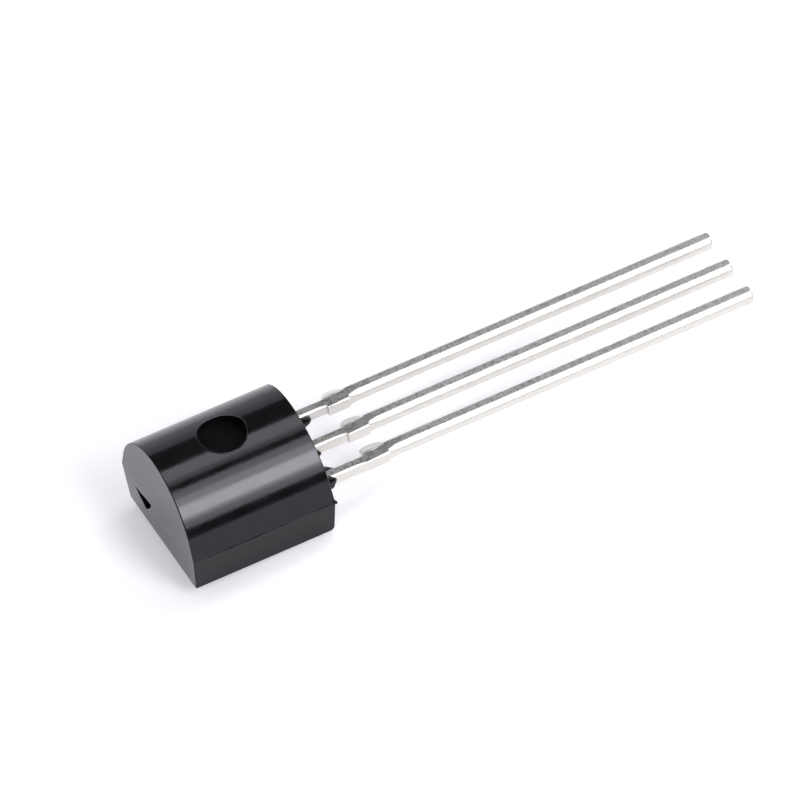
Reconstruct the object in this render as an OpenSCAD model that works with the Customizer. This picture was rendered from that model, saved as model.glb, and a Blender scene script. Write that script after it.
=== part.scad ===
// Small-signal transistor in a moulded three-lead case.
// It lies on its flat face: the flat face is at z = 0, the origin is its centre,
// the leads run along +X, and the body widens and rounds off upwards, along +Z.
// All sizes are in millimetres.

/* [Moulded body] */
// Length of the body along the leads, at the parting line
body_len = 4.59; // [4.3:0.01:5.2]
// Width of the body at the parting line, where it is widest
body_w = 4.70; // [4.5:0.01:5.1]
// Depth of the body, from the flat face to the top of the crown
body_depth = 3.40; // [3.2:0.01:3.7]
// Width of the flat face
flat_w = 4.30; // [3.8:0.01:4.4]
// Height of the parting line above the flat face
parting_h = 1.30; // [1.1:0.01:1.5]
// Height at which each straight side meets the round crown
shoulder_h = 2.03; // [1.8:0.01:2.3]
// Radius of the round crown
crown_r = 2.31; // [2.15:0.01:2.5]
// How far each end face leans in at the flat face, so that the mould lets go
end_lean_flat = 0.05; // [0.01:0.01:0.1]
// How far each end face leans in at the crown
end_lean_crown = 0.07; // [0.02:0.01:0.15]
// Radius of the two long edges of the flat face
flat_edge_r = 0.06; // [0.03:0.01:0.15]
// Bevel of the flat face's edges at its two ends
end_edge = 0.05; // [0.02:0.01:0.1]

/* [Ejector recess] */
// Diameter of the round recess that the ejector pin leaves in the crown
recess_d = 1.46; // [1:0.01:1.8]
// Depth of the recess below the top of the crown
recess_depth = 0.30; // [0.2:0.01:0.4]
// Width of the thin lip of resin round the recess
lip_w = 0.06; // [0.03:0.01:0.12]
// Height of the lip above the crown
lip_h = 0.03; // [0.01:0.01:0.06]

/* [Gate break] */
// How deep the broken-off gate left its chip in the end face
chip_depth = 0.20; // [0.05:0.01:0.25]
// Sideways place of the chip's upper corner, from the middle
chip_top_y = 0.40; // [0.2:0.01:0.6]
// How far the chip's upper corner lies below the parting line
chip_top_drop = 0.06; // [0.02:0.01:0.1]
// Sideways place of the chip's blunt corner beside the gate, from the middle
chip_side_y = 0.50; // [0.45:0.01:0.6]
// How far the chip's blunt corner lies below the parting line
chip_side_drop = 0.28; // [0.25:0.01:0.35]
// Sideways place of the chip's lowest corner, from the middle
chip_low_y = 0.91; // [0.75:0.01:1.2]
// How far the chip's lowest corner lies below the parting line
chip_low_drop = 0.73; // [0.5:0.01:0.9]
// Sideways place of the chip's sharp tail, from the middle
chip_tail_y = 1.65; // [1.3:0.01:1.9]
// How far the chip's sharp tail lies below the parting line
chip_tail_drop = 0.25; // [0.15:0.01:0.4]

/* [Leads] */
// Distance from one lead to the next
lead_pitch = 1.27; // [1.2:0.01:1.35]
// Length of the leads from the body's end to their tips
lead_reach = 14.12; // [12:0.01:16]
// Width of a lead
lead_w = 0.46; // [0.4:0.01:0.5]
// Thickness of the lead strip
lead_t = 0.38; // [0.35:0.01:0.45]
// Radius of the long edges of a lead
lead_edge_r = 0.10; // [0.04:0.01:0.14]
// Radius of a lead's upper edge on the collector's side, where the shear rolled it over
lead_roll_r = 0.17; // [0.1:0.01:0.2]
// Radius of the corners of the cut tip
tip_corner_r = 0.07; // [0.03:0.01:0.12]
// Width of the narrow neck between the body and the dam bar's stub
neck_w = 0.34; // [0.28:0.01:0.36]
// How far the middle of the neck lies off the middle of the lead, on the collector's side
neck_shift = 0.075; // [0:0.005:0.08]
// Radius of the long edges of the neck
neck_edge_r = 0.08; // [0.04:0.01:0.12]
// Distance from the body's end to the stub of the cut dam bar
stub_start = 1.46; // [1.2:0.01:1.8]
// Length of the stub along the lead
stub_len = 0.70; // [0.5:0.01:0.9]
// How far the stub stands out on the collector's side of a lead
stub_near = 0.04; // [0.02:0.01:0.08]
// How far the stub stands out on the emitter's side of a lead, where it is widest
stub_far = 0.12; // [0.06:0.01:0.15]
// How far the stub still stands out on that side at its far end
stub_far_end = 0.02; // [0.01:0.01:0.06]
// Length over which the stub widens on that side
stub_rise = 0.10; // [0.05:0.01:0.2]
// Radius of the stub's two long edges on that side, where the cut squeezed it out
stub_roll_r = 0.17; // [0.05:0.01:0.17]

/* [Resin flash] */
// How far a scrap of flash stands out from the side of a neck
flash_w = 0.16; // [0.08:0.01:0.2]
// How far it still stands out at its tip
flash_tip_w = 0.06; // [0.02:0.01:0.08]
// Height of a scrap of flash
flash_h = 0.30; // [0.2:0.01:0.34]
// Length of the scrap on the emitter lead
flash_emitter = 0.87; // [0.3:0.01:1.1]
// Length of the scrap on the base lead
flash_base = 0.58; // [0.3:0.01:1.1]
// Length of the scrap on the inner side of the collector lead
flash_collector_in = 0.60; // [0.3:0.01:1.1]
// Length of the scrap on the outer side of the collector lead
flash_collector_out = 0.46; // [0.3:0.01:1.1]

/* [Leadframe inside the body] */
// Width of the strips inside the body
strip_w = 0.46; // [0.4:0.01:0.55]
// Length of neck inside the body, before a strip widens
neck_root = 0.50; // [0.3:0.01:0.7]
// Resin between the closed end face and the die pad
pad_wall = 0.75; // [0.5:0.01:1]
// Length of the die pad
pad_len = 1.50; // [1.2:0.01:1.7]
// Gap between the die pad and each bonding post
post_gap = 0.30; // [0.2:0.01:0.4]
// Length of the base lead's post
base_post_len = 0.50; // [0.35:0.01:0.6]
// Width of the base lead's post
base_post_w = 1.00; // [0.7:0.01:1.1]
// Length of the emitter lead's post
emitter_post_len = 1.10; // [0.8:0.01:1.3]
// Width of the emitter lead's post
emitter_post_w = 0.70; // [0.6:0.01:0.85]
// Diameter of the hole that locks the collector's arm in the resin
lock_hole_d = 0.40; // [0.2:0.01:0.5]

/* [Chip and bond wires] */
// Side of the square chip
die_side = 0.50; // [0.35:0.01:0.7]
// Thickness of the chip
die_t = 0.20; // [0.12:0.01:0.3]
// Thickness of the layer that bonds the chip to its pad
attach_t = 0.03; // [0.02:0.01:0.05]
// How far that layer squeezes out round the chip
attach_rim = 0.05; // [0.02:0.01:0.1]
// Diameter of the bond wires
wire_d = 0.04; // [0.03:0.005:0.06]
// Diameter of the ball that starts a bond wire on the chip
ball_d = 0.10; // [0.08:0.005:0.14]
// Height of that ball
ball_h = 0.03; // [0.02:0.005:0.05]
// How high a bond wire loops above the chip
loop_rise = 0.30; // [0.2:0.01:0.45]
// Distance of each bonding spot from the middle of the chip
bond_offset = 0.12; // [0.08:0.01:0.16]

/* [Hidden] */

resin = [0.035, 0.035, 0.04];
tin = [0.80, 0.79, 0.77];
chip_grey = [0.38, 0.39, 0.43];
attach_grey = [0.62, 0.62, 0.60];
gold = [0.93, 0.72, 0.30];

$fn = 64;
WIRE_SIDES = 8;
WIRE_STEPS = 12;
// Length by which a cutting or joining shape runs past the face it meets
over = 0.2;

end_x = body_len / 2;
crown_z = body_depth - crown_r;
shoulder_y = sqrt(pow(crown_r, 2) - pow(shoulder_h - crown_z, 2));

emitter_y = lead_pitch;
base_y = 0;
collector_y = -lead_pitch;
tip_x = end_x + lead_reach;
root_x = end_x - neck_root;
stub_x = end_x + stub_start;

lead_top = parting_h + lead_t / 2;
pad_x = -end_x + pad_wall;
pad_y = collector_y - strip_w / 2;
pad_w = emitter_y - emitter_post_w / 2 - post_gap - pad_y;
base_post_x = pad_x + pad_len + post_gap;

die_x = pad_x + pad_len / 2;
die_y = pad_y + pad_w - strip_w - die_side / 2;
die_base = lead_top + attach_t;
die_top = die_base + die_t;

base_bond_from = [die_x + bond_offset, die_y - bond_offset, die_top];
base_bond_to = [base_post_x + base_post_len / 2, base_y, lead_top];
emitter_bond_from = [die_x - bond_offset, die_y + bond_offset, die_top];
emitter_bond_to = [die_x - bond_offset, emitter_y, lead_top];

function unit(v) = v / norm(v);
function bezier(p, t) = pow(1 - t, 3) * p[0] + 3 * pow(1 - t, 2) * t * p[1]
    + 3 * (1 - t) * pow(t, 2) * p[2] + pow(t, 3) * p[3];
function bezier_way(p, t) = unit(pow(1 - t, 2) * (p[1] - p[0]) + 2 * (1 - t) * t * (p[2] - p[1])
    + pow(t, 2) * (p[3] - p[2]));

// What a round of radius r takes off corner p, whose neighbours are a and b
module corner_waste(p, a, b, r) {
    u = unit(a - p);
    v = unit(b - p);
    half = acos(u * v) / 2;
    run = r / tan(half);
    middle = p + unit(u + v) * r / sin(half);
    difference() {
        polygon([p + (p - middle), p + u * run, middle, p + v * run]);
        translate(middle) circle(r);
    }
}

// Cross-section of the body, seen along the leads; lift raises the crown alone
module body_section(lift = 0) {
    flat_right = [flat_w / 2, 0];
    flat_left = [-flat_w / 2, 0];
    part_right = [body_w / 2, parting_h];
    part_left = [-body_w / 2, parting_h];
    difference() {
        union() {
            polygon([flat_left, flat_right, part_right, [shoulder_y, shoulder_h],
                     [-shoulder_y, shoulder_h], part_left]);
            intersection() {
                translate([0, crown_z]) circle(crown_r + lift);
                translate([-body_w, shoulder_h]) square([2 * body_w, body_depth]);
            }
        }
        corner_waste(flat_right, flat_left, part_right, flat_edge_r);
        corner_waste(flat_left, flat_right, part_left, flat_edge_r);
    }
}

// Outline of the body from the side; both end faces lean in from the parting line
module body_side(lift = 0) {
    top_h = body_depth + lift;
    flat_x = end_x - end_lean_flat;
    top_x = end_x - end_lean_crown;
    polygon([[-flat_x + end_edge, 0], [flat_x - end_edge, 0], [flat_x, end_edge], [end_x, parting_h],
             [top_x, top_h], [-top_x, top_h], [-end_x, parting_h], [-flat_x, end_edge]]);
}

module body_block(lift = 0) {
    intersection() {
        translate([-body_len, 0, 0])
            rotate([90, 0, 90])
                linear_extrude(2 * body_len) body_section(lift);
        rotate([90, 0, 0])
            linear_extrude(2 * body_w, center = true) body_side(lift);
    }
}

// A scrap of flash that thins out along one side of a neck; side is 1 towards the emitter, else -1
module flash_scrap(lane_y, side, reach) {
    translate([end_x, lane_y - neck_shift + side * neck_w / 2, parting_h])
        mirror([0, side < 0 ? 1 : 0, 0])
            linear_extrude(flash_h, center = true)
                polygon([[-over, -neck_w / 2], [-over, flash_w], [reach / 2, flash_w], [reach, flash_tip_w],
                         [reach, -neck_w / 2]]);
}

// Section of a strip across a lead; the radii are those of its lower and upper edge at y_from, then of
// its upper and lower edge at y_to
module strip_section(y_from, y_to, radii) {
    half = lead_t / 2;
    corners = [[y_from, -half], [y_from, half], [y_to, half], [y_to, -half]];
    difference() {
        polygon(corners);
        for (i = [0 : 3])
            if (radii[i] > 0)
                corner_waste(corners[i], corners[(i + 3) % 4], corners[(i + 1) % 4], radii[i]);
    }
}

// Runs a section along a lead, from x_from to x_to
module along_lead(x_from, x_to, lane_y) {
    translate([x_from, lane_y, parting_h])
        rotate([90, 0, 90])
            linear_extrude(x_to - x_from) children();
}

// Everything that stands over and under a plan outline, far enough to trim a lead
module over_plan() {
    translate([0, 0, parting_h]) linear_extrude(2 * lead_t, center = true) children();
}

// Flat plate of the lead strip, from its plan outline
module strip_plate() {
    translate([0, 0, parting_h]) linear_extrude(lead_t, center = true) children();
}

// Plan of a lead's free end, with the corners of the cut tip rounded
module tip_plan(lane_y) {
    straight = lead_w / 2 - tip_corner_r;
    translate([stub_x, lane_y]) {
        translate([0, -lead_w]) square([lead_reach - stub_start - tip_corner_r, 2 * lead_w]);
        translate([0, -straight]) square([lead_reach - stub_start, 2 * straight]);
        for (side = [-1, 1])
            translate([lead_reach - stub_start - tip_corner_r, side * straight]) circle(tip_corner_r);
    }
}

// Plan of the stub of the dam bar: square on one side, and running out along the lead on the other
module stub_plan(lane_y) {
    side = lead_w / 2;
    translate([stub_x, lane_y])
        polygon([[0, -side - stub_near], [stub_len, -side - stub_near], [stub_len, side + stub_far_end],
                 [stub_rise, side + stub_far], [0, side]]);
}

// The part of a lead that all three have: neck, stub of the dam bar, and free length
module lead_outside(lane_y) {
    side = lead_w / 2;
    along_lead(root_x - over, stub_x + over, lane_y - neck_shift)
        strip_section(-neck_w / 2, neck_w / 2, [for (i = [0 : 3]) neck_edge_r]);
    intersection() {
        along_lead(stub_x, stub_x + stub_len, lane_y)
            strip_section(-side - stub_near, side + stub_far, [0, 0, stub_roll_r, stub_roll_r]);
        over_plan() stub_plan(lane_y);
    }
    intersection() {
        along_lead(stub_x + over, tip_x, lane_y)
            strip_section(-side, side, [lead_edge_r, lead_roll_r, lead_edge_r, lead_edge_r]);
        over_plan() tip_plan(lane_y);
    }
}

// A strip inside the body, from x_from to where the neck widens
module strip_to_neck(x_from, lane_y) {
    translate([x_from, lane_y - strip_w / 2]) square([root_x - x_from, strip_w]);
}

module package_body() {
    color(resin)
        difference() {
            union() {
                body_block();
                intersection() {
                    body_block(lip_h);
                    translate([0, 0, shoulder_h]) cylinder(h = body_depth, d = recess_d + 2 * lip_w);
                }
                flash_scrap(emitter_y, -1, flash_emitter);
                flash_scrap(base_y, -1, flash_base);
                flash_scrap(collector_y, 1, flash_collector_in);
                flash_scrap(collector_y, -1, flash_collector_out);
            }
            translate([0, 0, body_depth - recess_depth]) cylinder(h = body_depth, d = recess_d);
            gate_chip();
            held_pieces();
        }
}

// The chip that the gate took out of the closed end face; its floor runs out at the sharp tail
module gate_chip() {
    slope = atan(chip_depth / (chip_tail_y - chip_top_y));
    depth_room = 2 * chip_depth + over;
    translate([-end_x, 0, parting_h])
        intersection() {
            translate([-over, 0, 0])
                rotate([90, 0, 90])
                    linear_extrude(depth_room)
                        polygon([[chip_top_y, -chip_top_drop], [chip_side_y, -chip_side_drop],
                                 [chip_low_y, -chip_low_drop], [chip_tail_y, -chip_tail_drop]]);
            translate([0, chip_tail_y, 0])
                rotate([0, 0, slope])
                    translate([-depth_room, -body_w, -body_w]) cube([depth_room, 2 * body_w, 2 * body_w]);
        }
}

// Everything that the resin was moulded round
module held_pieces() {
    emitter_lead();
    base_lead();
    collector_lead();
    silicon_die();
    die_attach();
    base_bond_wire();
    emitter_bond_wire();
}

module emitter_lead() {
    color(tin) {
        lead_outside(emitter_y);
        strip_plate() {
            strip_to_neck(pad_x + emitter_post_len, emitter_y);
            translate([pad_x, emitter_y - emitter_post_w / 2]) square([emitter_post_len, emitter_post_w]);
        }
    }
}

module base_lead() {
    color(tin) {
        lead_outside(base_y);
        strip_plate() {
            strip_to_neck(base_post_x + base_post_len, base_y);
            translate([base_post_x, base_y - base_post_w / 2]) square([base_post_len, base_post_w]);
        }
    }
}

module collector_lead() {
    color(tin) {
        lead_outside(collector_y);
        strip_plate()
            difference() {
                union() {
                    strip_to_neck(pad_x + pad_len, collector_y);
                    translate([pad_x, pad_y]) square([pad_len, pad_w]);
                }
                translate([die_x, pad_y + strip_w / 2]) circle(d = lock_hole_d);
            }
    }
}

module silicon_die() {
    color(chip_grey)
        translate([die_x - die_side / 2, die_y - die_side / 2, die_base]) cube([die_side, die_side, die_t]);
}

module die_attach() {
    side = die_side + 2 * attach_rim;
    color(attach_grey)
        translate([die_x - side / 2, die_y - side / 2, lead_top]) cube([side, side, attach_t]);
}

// A bond wire: a ball on the chip, one loop, and a flat stitch on the post
module bond_wire(from, to) {
    along = unit([to[0] - from[0], to[1] - from[1], 0]);
    across = [-along[1], along[0], 0];
    span = norm([to[0] - from[0], to[1] - from[1]]);
    up = [0, 0, 1];
    start = from + ball_h * up;
    curve = [start, start + 1.2 * loop_rise * up,
             [to[0], to[1], from[2] + 0.8 * loop_rise] - 0.3 * span * along, to];
    // Each ring is its middle, the way the wire runs there, and its radius
    rings = concat(
        [[from, up, ball_d / 2], [start, up, ball_d / 2]],
        [for (i = [1 : WIRE_STEPS - 1])
            let (t = i / WIRE_STEPS) [bezier(curve, t), bezier_way(curve, t), wire_d / 2]],
        [[to, -up, 0.75 * wire_d]]
    );
    points = [for (ring = rings, k = [0 : WIRE_SIDES - 1])
        let (turn = 360 * k / WIRE_SIDES, out = cross(ring[1], across))
        ring[0] + ring[2] * (cos(turn) * across + sin(turn) * out)];
    last = len(rings) - 1;
    polyhedron(points, concat(
        [[for (k = [0 : WIRE_SIDES - 1]) k]],
        [for (i = [0 : last - 1], k = [0 : WIRE_SIDES - 1])
            let (j = (k + 1) % WIRE_SIDES, a = i * WIRE_SIDES, b = (i + 1) * WIRE_SIDES)
            [a + k, b + k, b + j, a + j]],
        [[for (k = [WIRE_SIDES - 1 : -1 : 0]) last * WIRE_SIDES + k]]
    ));
}

module base_bond_wire() {
    color(gold) bond_wire(base_bond_from, base_bond_to);
}

module emitter_bond_wire() {
    color(gold) bond_wire(emitter_bond_from, emitter_bond_to);
}

package_body();
emitter_lead();
base_lead();
collector_lead();
silicon_die();
die_attach();
base_bond_wire();
emitter_bond_wire();
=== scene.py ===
"""Looks, light and camera for a small-signal transistor in a moulded three-lead case.

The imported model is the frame. The moulded body and the three tinned leads are modelled again here at a
finer grade than the solids' own meshes, in the same places, and the sealed inner pieces keep their solids.
Shapes are worked out in millimetres and put into the scene in metres. Near is the collector's side, which
the camera sees, and far is the emitter's.
"""

import logging
import math
from dataclasses import dataclass
from enum import Enum

import bmesh
import bpy
from bmesh.types import BMEdge, BMesh, BMFace, BMLoop, BMVert
from bpy.types import Material, Mesh, Node, NodeInputs, NodeOutputs, NodeSocket, NodeTree, Object
from mathutils import Matrix, Vector, noise


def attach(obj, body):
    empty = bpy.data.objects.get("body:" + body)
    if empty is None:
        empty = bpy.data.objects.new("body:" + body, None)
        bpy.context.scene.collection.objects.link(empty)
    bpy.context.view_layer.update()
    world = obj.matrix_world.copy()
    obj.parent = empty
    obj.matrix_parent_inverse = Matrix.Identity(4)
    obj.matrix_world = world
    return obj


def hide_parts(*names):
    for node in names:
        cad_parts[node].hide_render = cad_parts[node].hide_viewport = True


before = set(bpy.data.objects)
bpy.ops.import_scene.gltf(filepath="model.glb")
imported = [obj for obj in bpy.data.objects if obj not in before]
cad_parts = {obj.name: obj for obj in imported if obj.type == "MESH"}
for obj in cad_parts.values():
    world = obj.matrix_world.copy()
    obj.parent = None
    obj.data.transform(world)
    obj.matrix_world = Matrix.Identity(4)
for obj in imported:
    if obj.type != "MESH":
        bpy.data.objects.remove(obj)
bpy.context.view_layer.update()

Span = tuple[float, float]
Place = tuple[float, float, float]
Colour = tuple[float, float, float, float]

LOG = logging.getLogger("transistor")
BODY = "root"
MM = 0.001

# Sizes that the body and the leads share, in millimetres.
BODY_LENGTH = 4.59
PARTING_Z = 1.30
PITCH = 1.27

# Slack of the mesh work: when vertices are one, when a length is nothing, and when a vertex is on a plane.
WELD = 1e-5
SLIVER = 1e-6
ON_PLANE = 1e-4

# From these cosines on, an edge runs along an axis, and a face looks along it.
ALONG = 0.999
FACING = 0.9

# Offsets that make three noises out of one.
NOISE_SHIFTS = (Vector((0.0, 0.0, 0.0)), Vector((17.3, 5.1, 2.7)), Vector((41.9, 8.3, 11.6)))

WHOLE: Span = (0.0, 1.0)


class Join(Enum):
    """How one solid is combined with another."""

    ADD = "UNION"
    CUT = "DIFFERENCE"


class Axis(Enum):
    """Directions of the frame."""

    X = Vector((1, 0, 0))
    Z = Vector((0, 0, 1))


# Mesh work


def put(name: str, data: object) -> Object:
    """Puts data into the scene as a new object.

    Args:
        name: the object's name.
        data: its mesh, curve, light or camera.

    Returns:
        The object, at the origin.
    """
    thing = bpy.data.objects.new(name, data)
    bpy.context.scene.collection.objects.link(thing)
    return thing


def new_object(bm: BMesh, name: str) -> Object:
    """Puts a bmesh into a new object of the scene.

    Args:
        bm: the mesh, which is freed.
        name: the object's name.

    Returns:
        The new object, at the origin.
    """
    mesh = bpy.data.meshes.new(name)
    bm.to_mesh(mesh)
    bm.free()
    return put(name, mesh)


def discard(thing: Object) -> None:
    """Removes a working object and its data.

    Args:
        thing: an object with a mesh or a curve.
    """
    data = thing.data
    bpy.data.objects.remove(thing)
    if isinstance(data, Mesh):
        bpy.data.meshes.remove(data)
    else:
        bpy.data.curves.remove(data)


def settled(thing: Object) -> Mesh:
    """Gives a new mesh with an object's modifiers applied."""
    graph = bpy.context.evaluated_depsgraph_get()
    return bpy.data.meshes.new_from_object(thing.evaluated_get(graph), depsgraph=graph)


def combine(thing: Object, other: Object, how: Join) -> None:
    """Adds one solid to another, or cuts it out of that one.

    Args:
        thing: the solid that is changed.
        other: the solid that is used on it, and then removed.
        how: the kind of join.
    """
    work = thing.modifiers.new("combine", "BOOLEAN")
    work.operation = how.value
    work.solver = "EXACT"
    work.object = other
    old = thing.data
    made = settled(thing)
    thing.modifiers.clear()
    thing.data = made
    bpy.data.meshes.remove(old)
    discard(other)


def box(low: Vector, high: Vector) -> BMesh:
    """Makes a box.

    Args:
        low: its corner with the lowest coordinates.
        high: the opposite corner.

    Returns:
        The box.
    """
    bm = bmesh.new()
    bmesh.ops.create_cube(bm, size=1.0)
    bmesh.ops.scale(bm, vec=high - low, verts=bm.verts)
    bmesh.ops.translate(bm, vec=(low + high) / 2, verts=bm.verts)
    return bm


def lump(half: Place, middle: Place, turn: Matrix, thinning: float = 0.0) -> BMesh:
    """Makes a round lump.

    Args:
        half: its half sizes.
        middle: its middle.
        turn: how it is turned about its middle.
        thinning: the share of its section that it loses towards its tip.

    Returns:
        The lump.
    """
    bm = bmesh.new()
    bmesh.ops.create_icosphere(bm, subdivisions=4, radius=1.0)
    for v in bm.verts:
        share = 1 - thinning * max(0.0, v.co.x)
        v.co.y *= share
        v.co.z *= share
    bmesh.ops.scale(bm, vec=half, verts=bm.verts)
    bmesh.ops.rotate(bm, cent=(0, 0, 0), matrix=turn, verts=bm.verts)
    bmesh.ops.translate(bm, vec=middle, verts=bm.verts)
    return bm


def edges_along(bm: BMesh, axis: Axis) -> list[BMEdge]:
    """Lists the edges that run in one direction."""
    way = axis.value
    return [e for e in bm.edges if abs((e.verts[1].co - e.verts[0].co).normalized().dot(way)) > ALONG]


def round_edges(bm: BMesh, edges: list[BMEdge], radius: float, steps: int) -> None:
    """Rounds edges to a radius."""
    bmesh.ops.bevel(bm, geom=edges, offset=radius, offset_type="OFFSET", segments=steps, profile=0.5,
                    affect="EDGES", clamp_overlap=True, material=-1)


def new_verts(grown: dict) -> list[BMVert]:
    """Lists the vertices that an extrusion made."""
    return [v for v in grown["geom"] if isinstance(v, BMVert)]


def pull(bm: BMesh, face: BMFace, way: Place) -> list[BMVert]:
    """Draws a face out into a solid.

    Args:
        bm: the mesh.
        face: the face.
        way: how far its copy moves.

    Returns:
        The vertices of the far end.
    """
    moved = new_verts(bmesh.ops.extrude_face_region(bm, geom=[face]))
    bmesh.ops.translate(bm, vec=way, verts=moved)
    return moved


def mend(bm: BMesh) -> None:
    """Welds a mesh and turns its faces outwards."""
    bmesh.ops.remove_doubles(bm, verts=bm.verts, dist=WELD)
    bmesh.ops.recalc_face_normals(bm, faces=bm.faces)


@dataclass(frozen=True)
class Roughness:
    """A smooth wandering of a surface, the same in every run.

    Amount is the largest move, in millimetres. Cycles is how often it changes in a millimetre. Seed is an
    offset that keeps two pieces from being alike.
    """

    amount: float
    cycles: float
    seed: Place

    def apply(self, bm: BMesh) -> None:
        """Moves every vertex of a mesh a little.

        Args:
            bm: the mesh.
        """
        for v in bm.verts:
            place = v.co * self.cycles + Vector(self.seed)
            v.co += self.amount * Vector([noise.noise(place + shift) for shift in NOISE_SHIFTS])


@dataclass(frozen=True, eq=False)
class Skin:
    """A surface of known form, whose faces shade by their true normals: a plane, or a cylinder along X."""

    normal: Vector | None = None
    axis_z: float = 0.0
    radius: float = 0.0
    plane_match: float = 0.99995
    most_lean: float = 0.02
    most_off: float = 0.004

    def way(self, place: Vector) -> Vector:
        """Gives the surface's normal at a place."""
        return self.normal or Vector((0, place.y, place.z - self.axis_z))

    def holds(self, face: BMFace) -> bool:
        """Says whether a face is part of the surface.

        Args:
            face: the face.

        Returns:
            True if it is.
        """
        if self.normal:
            return face.normal.dot(self.normal) > self.plane_match
        off = [abs(math.hypot(v.co.y, v.co.z - self.axis_z) - self.radius) for v in face.verts]
        return abs(face.normal.x) < self.most_lean and max(off) < self.most_off


def fans(vert: BMVert) -> list[list[BMLoop]]:
    """Groups the face corners at a vertex into fans that no sharp edge divides.

    Args:
        vert: the vertex.

    Returns:
        The corners of each fan.
    """
    left = set(vert.link_loops)
    groups = []
    while left:
        group = [left.pop()]
        for corner in group:
            for edge in (corner.edge, corner.link_loop_prev.edge):
                if not edge.smooth:
                    continue
                for beside in edge.link_loops:
                    for other in (beside, beside.link_loop_next):
                        if other in left:
                            left.remove(other)
                            group.append(other)
        groups.append(group)
    return groups


def corner_normals(bm: BMesh, skin_of: dict[BMFace, Skin | None]) -> list[Vector]:
    """Works out the shading normal of each face corner.

    Flat faces keep their own normal, because the corners' normals are weighted by the faces' areas.

    Args:
        bm: the mesh, with its sharp edges set.
        skin_of: the surface of known form that each face is part of.

    Returns:
        The normals, in the order of the corners.
    """
    corners = [corner for face in bm.faces for corner in face.loops]
    order = {corner: i for i, corner in enumerate(corners)}
    normals = [Axis.Z.value] * len(corners)
    for vert in bm.verts:
        for group in fans(vert):
            faces = [corner.face for corner in group]
            skin = next((skin_of[face] for face in faces if skin_of[face]), None)
            if skin:
                way = skin.way(vert.co)
            else:
                way = sum((face.normal * face.calc_area() for face in faces), Vector())
            for corner in group:
                own = skin_of[corner.face]
                normals[order[corner]] = (own.way(vert.co) if own else way).normalized()
    return normals


def finish_mesh(thing: Object, sharp_over_deg: float, skins: tuple[Skin, ...] = ()) -> None:
    """Brings a millimetre mesh into the scene's metres and sets how it shades.

    Args:
        thing: the object.
        sharp_over_deg: edges that turn by more than this stay sharp.
        skins: the surfaces of known form, which also meet each other in sharp edges.
    """
    bm = bmesh.new()
    bm.from_mesh(thing.data)
    bmesh.ops.remove_doubles(bm, verts=bm.verts, dist=WELD)
    bmesh.ops.dissolve_degenerate(bm, edges=bm.edges, dist=SLIVER)
    bmesh.ops.recalc_face_normals(bm, faces=bm.faces)
    limit = math.radians(sharp_over_deg)
    skin_of = {face: next((skin for skin in skins if skin.holds(face)), None) for face in bm.faces}
    for edge in bm.edges:
        kinds = {skin_of[face] for face in edge.link_faces} - {None}
        edge.smooth = len(edge.link_faces) == 2 and edge.calc_face_angle(0) <= limit and len(kinds) < 2
    for face in bm.faces:
        face.smooth = True
    bm.verts.index_update()
    bm.faces.index_update()
    normals = corner_normals(bm, skin_of)
    bmesh.ops.scale(bm, vec=(MM, MM, MM), verts=bm.verts)
    bm.to_mesh(thing.data)
    bm.free()
    thing.data.normals_split_custom_set(normals)


# Shader work


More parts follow.
